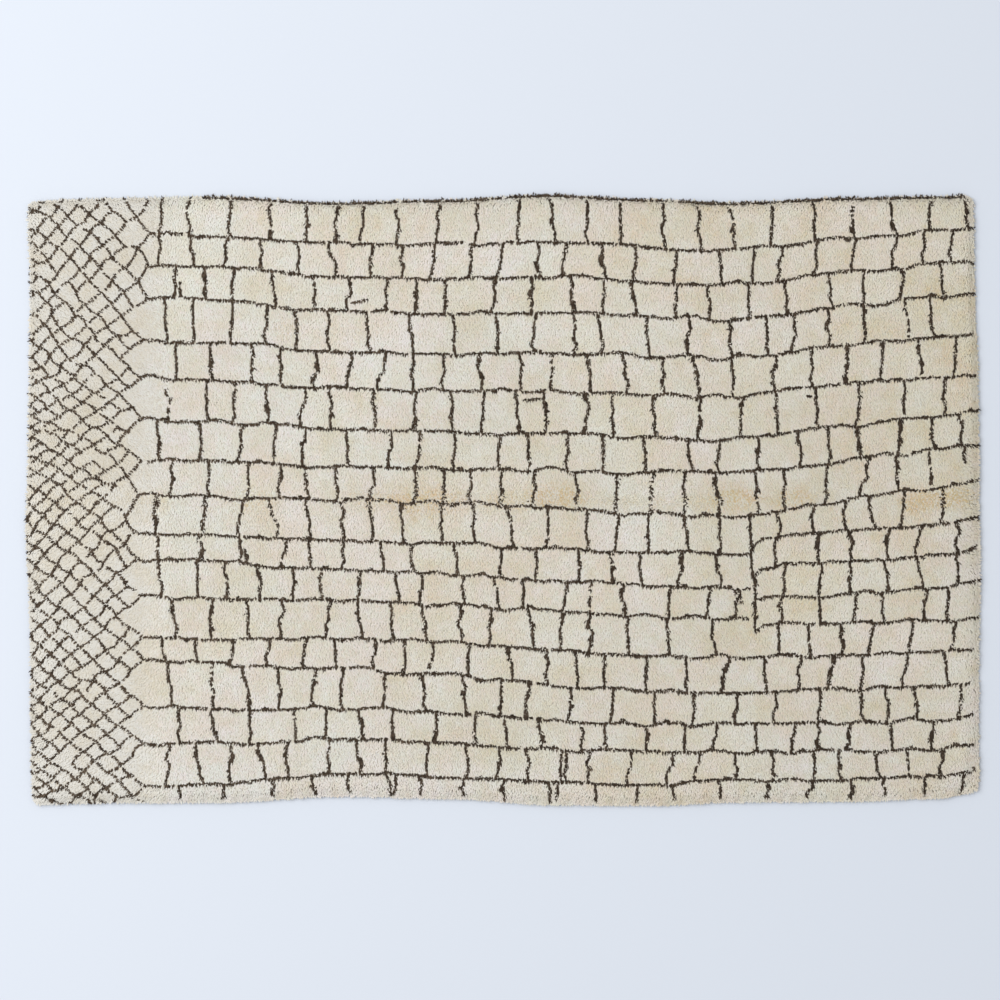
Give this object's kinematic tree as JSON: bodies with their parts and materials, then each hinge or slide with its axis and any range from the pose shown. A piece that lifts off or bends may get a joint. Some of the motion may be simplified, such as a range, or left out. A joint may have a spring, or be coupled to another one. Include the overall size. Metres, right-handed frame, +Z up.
{
  "type": "beni ourain rug",
  "caption": "Flat rectangular hand-knotted wool shag rug, cream with a dark net of uneven squares and a strip of small diamonds at one end.",
  "frame": {"origin": "centre of the rug's box, on the floor under it", "axes": "+X along the rug's length, from the end with the diamonds to the other end; +Y across the rug; +Z up, out of the pile"},
  "size_m": [3.018, 1.9334, 0.0253],
  "materials": {
    "cream_wool": "matte undyed wool pile, cream with dark brown-black lines"
  },
  "bodies": {
    "root": {"shag_rug": "cream_wool"}
  },
  "joints": []
}
